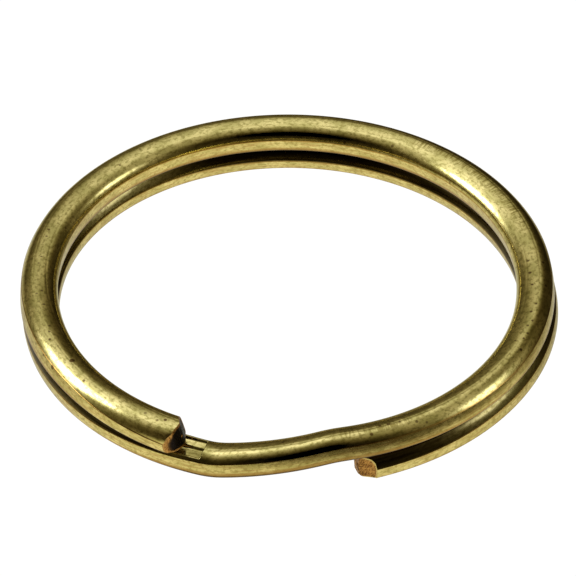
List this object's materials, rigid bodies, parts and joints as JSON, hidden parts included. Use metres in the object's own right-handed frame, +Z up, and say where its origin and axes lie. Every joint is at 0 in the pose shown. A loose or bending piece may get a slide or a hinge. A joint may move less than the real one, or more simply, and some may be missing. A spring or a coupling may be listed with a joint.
{
  "type": "split key ring",
  "caption": "Split key ring: one springy flattened brass wire wound into two stacked turns with a crossover and free pinched ends.",
  "frame": {"origin": "centre of the ring's bounding box, on the flat it lies on", "axes": "+Z up along the ring's axis, -Y towards the crossover between the two free ends, +X to the right when seen from there"},
  "size_m": [0.0252, 0.025, 0.0024],
  "materials": {
    "brass_wire": "polished, lightly tarnished"
  },
  "bodies": {
    "crossover": {"crossover": "brass_wire"},
    "upper_tip": {"upper_tip": "brass_wire"},
    "upper_left": {"upper_left": "brass_wire"},
    "upper_back_left": {"upper_back_left": "brass_wire"},
    "upper_back": {"upper_back": "brass_wire"},
    "upper_back_right": {"upper_back_right": "brass_wire"},
    "upper_right": {"upper_right": "brass_wire"},
    "upper_right_front": {"upper_right_front": "brass_wire"},
    "upper_front_right": {"upper_front_right": "brass_wire"},
    "lower_front_left": {"lower_front_left": "brass_wire"},
    "lower_left": {"lower_left": "brass_wire"},
    "lower_back_left": {"lower_back_left": "brass_wire"},
    "lower_back": {"lower_back": "brass_wire"},
    "lower_back_right": {"lower_back_right": "brass_wire"},
    "lower_right": {"lower_right": "brass_wire"},
    "lower_right_front": {"lower_right_front": "brass_wire"},
    "lower_end": {"lower_end": "brass_wire"}
  },
  "joints": [
    {"name": "flex_upper_front_right", "type": "hinge", "parent": "crossover", "child": "upper_front_right", "pos_m": [0.00235, -0.0114, 0.00183], "axis": [0.9781, 0.2079, 0], "range_deg": [0, 0.2132]},
    {"name": "flex_upper_right_front", "type": "hinge", "parent": "upper_front_right", "child": "upper_right_front", "pos_m": [0.00914, -0.00715, 0.00183], "axis": [0.6139, 0.7894, 0], "range_deg": [0, 0.7747]},
    {"name": "flex_upper_right", "type": "hinge", "parent": "upper_right_front", "child": "upper_right", "pos_m": [0.01159, 0.00048, 0.00183], "axis": [-0.0393, 0.9992, 0], "range_deg": [0, 1.42]},
    {"name": "flex_upper_back_right", "type": "hinge", "parent": "upper_right", "child": "upper_back_right", "pos_m": [0.00855, 0.00789, 0.00183], "axis": [-0.674, 0.7387, 0], "range_deg": [0, 1.84], "stiffness_Nm_per_rad": 10.446},
    {"name": "flex_upper_back", "type": "hinge", "parent": "upper_back_right", "child": "upper_back", "pos_m": [0.00145, 0.01159, 0.00243], "axis": [-0.9602, 0.2793, 0], "range_deg": [0, 1.88]},
    {"name": "flex_upper_back_left", "type": "hinge", "parent": "upper_back", "child": "upper_back_left", "pos_m": [-0.00637, 0.00985, 0.00243], "axis": [-0.9953, -0.0966, 0], "range_deg": [0, 1.61]},
    {"name": "flex_upper_left", "type": "hinge", "parent": "upper_back_left", "child": "upper_left", "pos_m": [-0.01122, 0.00348, 0.00243], "axis": [-0.8979, -0.4402, 0], "range_deg": [0, 1.15]},
    {"name": "flex_upper_tip", "type": "hinge", "parent": "upper_left", "child": "upper_tip", "pos_m": [-0.01083, -0.00452, 0.00243], "axis": [-0.7055, -0.7087, 0], "range_deg": [0, 0.5935]},
    {"name": "flex_lower_front_left", "type": "hinge", "parent": "crossover", "child": "lower_front_left", "pos_m": [-0.00486, -0.01066, 0.0006], "axis": [-0.9063, 0.4226, 0], "range_deg": [0, 0.2433]},
    {"name": "flex_lower_left", "type": "hinge", "parent": "lower_front_left", "child": "lower_left", "pos_m": [-0.01048, -0.00506, 0.0006], "axis": [-0.4266, 0.9045, 0], "range_deg": [0, 0.8101]},
    {"name": "flex_lower_back_left", "type": "hinge", "parent": "lower_left", "child": "lower_back_left", "pos_m": [-0.01123, 0.00284, 0.0006], "axis": [0.2504, 0.9681, 0], "range_deg": [0, 1.44]},
    {"name": "flex_lower_back", "type": "hinge", "parent": "lower_back_left", "child": "lower_back", "pos_m": [-0.00675, 0.00939, 0.0006], "axis": [0.8116, 0.5842, 0], "range_deg": [0, 1.84], "stiffness_Nm_per_rad": 10.525},
    {"name": "flex_lower_back_right", "type": "hinge", "parent": "lower_back", "child": "lower_back_right", "pos_m": [0.00089, 0.01157, 0], "axis": [0.9956, 0.094, 0], "range_deg": [0, 1.85]},
    {"name": "flex_lower_right", "type": "hinge", "parent": "lower_back_right", "child": "lower_right", "pos_m": [0.00815, 0.00835, 0], "axis": [0.9606, -0.278, 0], "range_deg": [0, 1.59]},
    {"name": "flex_lower_right_front", "type": "hinge", "parent": "lower_right", "child": "lower_right_front", "pos_m": [0.01167, 0.00124, 0], "axis": [0.804, -0.5946, 0], "range_deg": [0, 1.13]},
    {"name": "flex_lower_end", "type": "hinge", "parent": "lower_right_front", "child": "lower_end", "pos_m": [0.00984, -0.00648, 0], "axis": [0.5692, -0.8222, 0], "range_deg": [0, 0.5825]}
  ],
  "couplings": [
    {"joint": "flex_upper_front_right", "follows": "flex_upper_back_right", "ratio": 0.11512},
    {"joint": "flex_upper_right_front", "follows": "flex_upper_back_right", "ratio": 0.4191},
    {"joint": "flex_upper_right", "follows": "flex_upper_back_right", "ratio": 0.76895},
    {"joint": "flex_upper_back", "follows": "flex_upper_back_right", "ratio": 1.0152},
    {"joint": "flex_upper_back_left", "follows": "flex_upper_back_right", "ratio": 0.87353},
    {"joint": "flex_upper_left", "follows": "flex_upper_back_right", "ratio": 0.6249},
    {"joint": "flex_upper_tip", "follows": "flex_upper_back_right", "ratio": 0.32099},
    {"joint": "flex_lower_front_left", "follows": "flex_lower_back", "ratio": 0.13193},
    {"joint": "flex_lower_left", "follows": "flex_lower_back", "ratio": 0.43993},
    {"joint": "flex_lower_back_left", "follows": "flex_lower_back", "ratio": 0.782},
    {"joint": "flex_lower_back_right", "follows": "flex_lower_back", "ratio": 1.0066},
    {"joint": "flex_lower_right", "follows": "flex_lower_back", "ratio": 0.86287},
    {"joint": "flex_lower_right_front", "follows": "flex_lower_back", "ratio": 0.61606},
    {"joint": "flex_lower_end", "follows": "flex_lower_back", "ratio": 0.31623}
  ]
}
